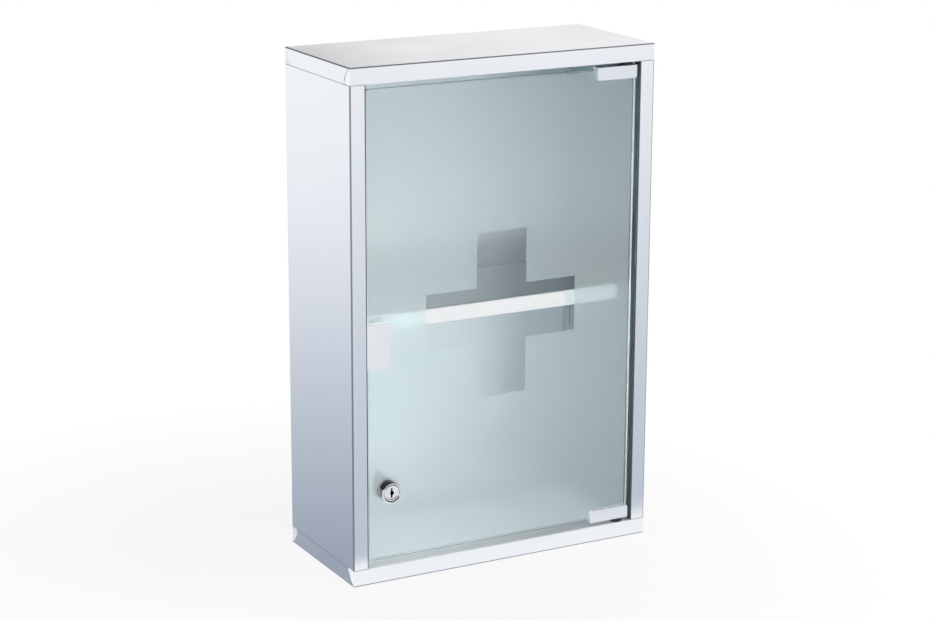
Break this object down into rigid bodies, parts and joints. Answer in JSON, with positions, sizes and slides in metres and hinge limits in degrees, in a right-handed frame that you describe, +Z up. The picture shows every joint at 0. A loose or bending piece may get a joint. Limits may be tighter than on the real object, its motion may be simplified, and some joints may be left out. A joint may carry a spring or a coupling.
{
  "type": "glass door medical cabinet",
  "caption": "Wall-hung folded steel medicine cabinet with a shelf and a frosted glass door on pivot clamps, with a clear cross window, a magnetic catch and a cam lock.",
  "frame": {"origin": "middle of the base, halfway between the wall and the face of the lock", "axes": "+X to the right seen from the front, +Y towards the wall, +Z up"},
  "size_m": [0.3, 0.135, 0.46],
  "materials": {
    "stainless_steel": "fine brushed",
    "satin_chrome": "satin",
    "chrome": "polished",
    "clear_glass": "clear, with polished edges",
    "frosted_film": "frosted, translucent",
    "black_nylon": "matte",
    "soft_grey": "soft",
    "white_plastic": "moulded",
    "ferrite": "ground",
    "zinc_plated_steel": "plated"
  },
  "bodies": {
    "cabinet": {"top_cap": "stainless_steel", "bottom_cap": "stainless_steel", "ceiling_panel": "stainless_steel", "floor_panel": "stainless_steel", "left_side_panel": "stainless_steel", "right_side_panel": "stainless_steel", "left_inner_wall": "stainless_steel", "right_inner_wall": "stainless_steel", "back_panel": "stainless_steel", "shelf": "stainless_steel", "left_shelf_rail": "stainless_steel", "right_shelf_rail": "stainless_steel", "bottom_hinge_bush": "black_nylon", "top_hinge_bush": "black_nylon", "catch_case": "white_plastic", "catch_pole_left": "zinc_plated_steel", "catch_pole_right": "zinc_plated_steel", "catch_magnet": "ferrite", "catch_screw_upper": "zinc_plated_steel", "catch_screw_lower": "zinc_plated_steel"},
    "door": {"door_glass": "clear_glass", "frosting": "frosted_film", "bottom_hinge_clamp": "satin_chrome", "bottom_hinge_gasket": "soft_grey", "bottom_hinge_pin": "zinc_plated_steel", "bottom_hinge_screw_left": "zinc_plated_steel", "bottom_hinge_screw_right": "zinc_plated_steel", "top_hinge_clamp": "satin_chrome", "top_hinge_gasket": "soft_grey", "top_hinge_pin": "zinc_plated_steel", "top_hinge_screw_left": "zinc_plated_steel", "top_hinge_screw_right": "zinc_plated_steel", "strike_plate": "satin_chrome", "strike_pad": "soft_grey", "lock_housing": "chrome", "lock_gasket": "soft_grey", "lock_washer": "black_nylon", "lock_nut": "zinc_plated_steel"},
    "lock_barrel": {"lock_plug": "chrome", "lock_cam": "zinc_plated_steel", "lock_cam_screw": "zinc_plated_steel"}
  },
  "joints": [
    {"name": "door_swing", "type": "hinge", "parent": "cabinet", "child": "door", "pos_m": [0.123, -0.0565, 0.23], "axis": [0, 0, 1], "range_deg": [0, 110]},
    {"name": "lock_turn", "type": "hinge", "parent": "door", "child": "lock_barrel", "pos_m": [-0.1145, -0.0585, 0.0835], "axis": [0, -1, 0], "range_deg": [0, 90]}
  ]
}
